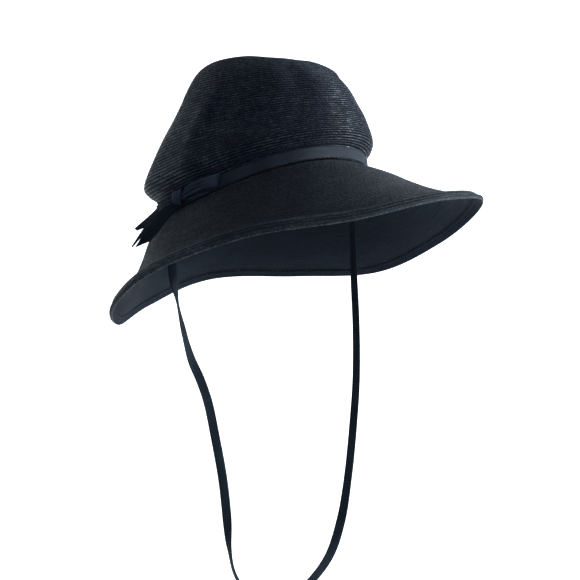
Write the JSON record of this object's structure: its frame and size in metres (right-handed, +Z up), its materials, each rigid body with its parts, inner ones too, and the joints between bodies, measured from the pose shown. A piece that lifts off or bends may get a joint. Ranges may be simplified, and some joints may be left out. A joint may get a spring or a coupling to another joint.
{
  "type": "floppy straw hat with chin strap",
  "caption": "Fine black straw hat with a bell crown, a drooping wavy brim, a ribbon band with a bow, a bound rim and a hanging ribbon chin strap.",
  "frame": {"origin": "middle of the head opening, at the head line where the crown meets the brim", "axes": "+Z up as worn, -Y towards the wearer's front, +X towards the wearer's left. The hat is tipped back by 11 degrees and to the wearer's right by 3 degrees, as it is worn in the picture, and the strap hangs straight down."},
  "size_m": [0.315, 0.3395, 0.4824],
  "materials": {
    "straw": "fine black straw braid sewn in rows, with a soft dry sheen",
    "ribbon": "black ribbed ribbon, matt",
    "strap": "black ribbed ribbon, slightly worn"
  },
  "bodies": {
    "root": {"crown": "straw", "brim": "straw", "brim_hem": "straw", "hat_band": "ribbon", "bow_loop_front": "ribbon", "bow_knot": "ribbon", "bow_loop_rear": "ribbon", "bow_tail_1": "ribbon", "bow_tail_2": "ribbon", "bow_tail_3": "ribbon", "chin_strap": "strap"}
  },
  "joints": []
}
